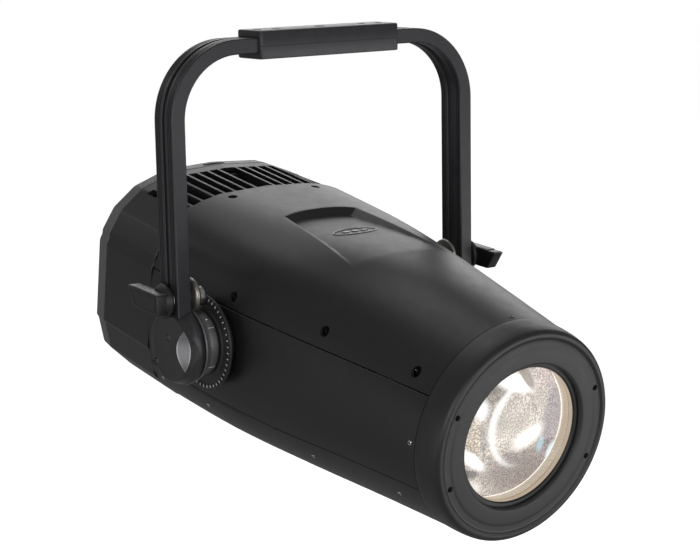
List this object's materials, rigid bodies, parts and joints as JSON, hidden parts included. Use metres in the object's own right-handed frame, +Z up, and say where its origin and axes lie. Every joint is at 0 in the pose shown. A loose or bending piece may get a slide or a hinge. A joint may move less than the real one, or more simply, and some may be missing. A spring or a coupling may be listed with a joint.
{
  "type": "follow spot",
  "caption": "Profile follow spot with a tapering black housing, slotted rear section and round front bezel, hung from a bent yoke with clamp levers.",
  "frame": {"origin": "middle of the clamp block's flat top face, over the hole for the clamp's bolt, where the spot hangs", "axes": "+Z up, X along the tilt axis, the lens towards -Y; at rest the head is 9.27 degrees nose down"},
  "size_m": [0.42, 0.5802, 0.4666],
  "materials": {
    "cover_black": "satin black moulded cover, fine grain",
    "ring_black": "satin dark grey",
    "yoke_paint": "charcoal paint on extruded aluminium, satin",
    "lever_plastic": "black glass-filled nylon",
    "aluminium": "bare, brushed",
    "steel": "turned",
    "black_steel": "blackened",
    "glass": "clear, polished",
    "circuit_board": "solder mask",
    "back_grey": "light grey powder coat",
    "brass": "machined"
  },
  "bodies": {
    "yoke": {"yoke_bar": "yoke_paint", "block_upper": "yoke_paint", "block_lower": "yoke_paint", "block_screw_left": "black_steel", "block_screw_right": "black_steel", "end_cap_left": "yoke_paint", "end_cap_right": "yoke_paint", "hub_left": "yoke_paint", "hub_right": "yoke_paint", "clamp_washer_left": "aluminium", "clamp_washer_right": "aluminium"},
    "head": {"top_cover": "cover_black", "bottom_cover": "cover_black", "side_panel_left": "cover_black", "side_panel_right": "cover_black", "rear_housing": "cover_black", "rear_cover": "back_grey", "front_ring": "ring_black", "front_plate": "ring_black", "lens_retainer": "ring_black", "front_lens": "glass", "index_disc_left": "ring_black", "index_disc_right": "ring_black", "pivot_shaft_left": "steel", "pivot_shaft_right": "steel", "power_inlet": "lever_plastic", "data_in": "steel", "data_out": "steel", "display": "lever_plastic", "chassis": "aluminium", "guide_rod_left": "steel", "guide_rod_right": "steel", "zoom_motor": "black_steel", "focus_motor": "black_steel", "iris_frame": "lever_plastic", "wheel_motor": "black_steel", "condenser_lens": "glass", "led_board": "circuit_board", "heat_sink": "aluminium", "fan_frame": "lever_plastic", "driver_board": "circuit_board"},
    "left_lever": {"lever_left": "lever_plastic", "lever_bolt_left": "steel"},
    "right_lever": {"lever_right": "lever_plastic", "lever_bolt_right": "steel"},
    "zoom": {"zoom_carriage": "lever_plastic", "zoom_lens": "glass"},
    "focus": {"focus_carriage": "lever_plastic", "focus_lens": "glass"},
    "zoom_lead": {"zoom_screw": "brass"},
    "focus_lead": {"focus_screw": "brass"},
    "iris": {"iris_ring": "steel"},
    "wheel": {"colour_wheel": "aluminium"},
    "fan": {"fan_rotor": "lever_plastic"},
    "menu_key": {"key_menu": "lever_plastic"},
    "down_key": {"key_down": "lever_plastic"},
    "up_key": {"key_up": "lever_plastic"},
    "enter_key": {"key_enter": "lever_plastic"}
  },
  "joints": [
    {"name": "head_tilt", "type": "hinge", "parent": "yoke", "child": "head", "pos_m": [0, 0, -0.305], "axis": [1, 0, 0], "range_deg": [-55, 80]},
    {"name": "left_lever_turn", "type": "hinge", "parent": "yoke", "child": "left_lever", "pos_m": [-0.19, 0, -0.258], "axis": [-1, 0, 0], "range_deg": [0, 90]},
    {"name": "right_lever_turn", "type": "hinge", "parent": "yoke", "child": "right_lever", "pos_m": [0.19, 0, -0.258], "axis": [1, 0, 0], "range_deg": [0, 90]},
    {"name": "zoom_slide", "type": "slide", "parent": "head", "child": "zoom", "axis": [0, -0.9869, -0.1611], "range_m": [-0.035, 0.028]},
    {"name": "focus_slide", "type": "slide", "parent": "head", "child": "focus", "axis": [0, -0.9869, -0.1611], "range_m": [-0.055, 0.03]},
    {"name": "zoom_screw_turn", "type": "hinge", "parent": "head", "child": "zoom_lead", "pos_m": [-0.057, -0.15715, -0.39752], "axis": [0, -0.9869, -0.1611], "range_deg": [-1060, 850]},
    {"name": "focus_screw_turn", "type": "hinge", "parent": "head", "child": "focus_lead", "pos_m": [0.057, -0.15715, -0.39752], "axis": [0, -0.9869, -0.1611], "range_deg": [-1660, 910]},
    {"name": "iris_turn", "type": "hinge", "parent": "head", "child": "iris", "pos_m": [0, -0.04549, -0.32114], "axis": [0, -0.9869, -0.1611], "range_deg": [0, 90]},
    {"name": "wheel_turn", "type": "hinge", "parent": "head", "child": "wheel", "pos_m": [0.044, -0.02951, -0.27942], "axis": [0, -0.9869, -0.1611], "continuous": true},
    {"name": "fan_spin", "type": "hinge", "parent": "head", "child": "fan", "pos_m": [0, 0.14309, -0.28773], "axis": [0, -0.9869, -0.1611], "continuous": true},
    {"name": "menu_press", "type": "slide", "parent": "head", "child": "menu_key", "axis": [0, -0.9869, -0.1611], "range_m": [0, 0.0015], "stiffness_N_per_m": 400},
    {"name": "down_press", "type": "slide", "parent": "head", "child": "down_key", "axis": [0, -0.9869, -0.1611], "range_m": [0, 0.0015], "stiffness_N_per_m": 400},
    {"name": "up_press", "type": "slide", "parent": "head", "child": "up_key", "axis": [0, -0.9869, -0.1611], "range_m": [0, 0.0015], "stiffness_N_per_m": 400},
    {"name": "enter_press", "type": "slide", "parent": "head", "child": "enter_key", "axis": [0, -0.9869, -0.1611], "range_m": [0, 0.0015], "stiffness_N_per_m": 400}
  ],
  "couplings": [
    {"joint": "zoom_screw_turn", "follows": "zoom_slide", "rad_per_m": 523.6},
    {"joint": "focus_screw_turn", "follows": "focus_slide", "rad_per_m": 523.6}
  ]
}
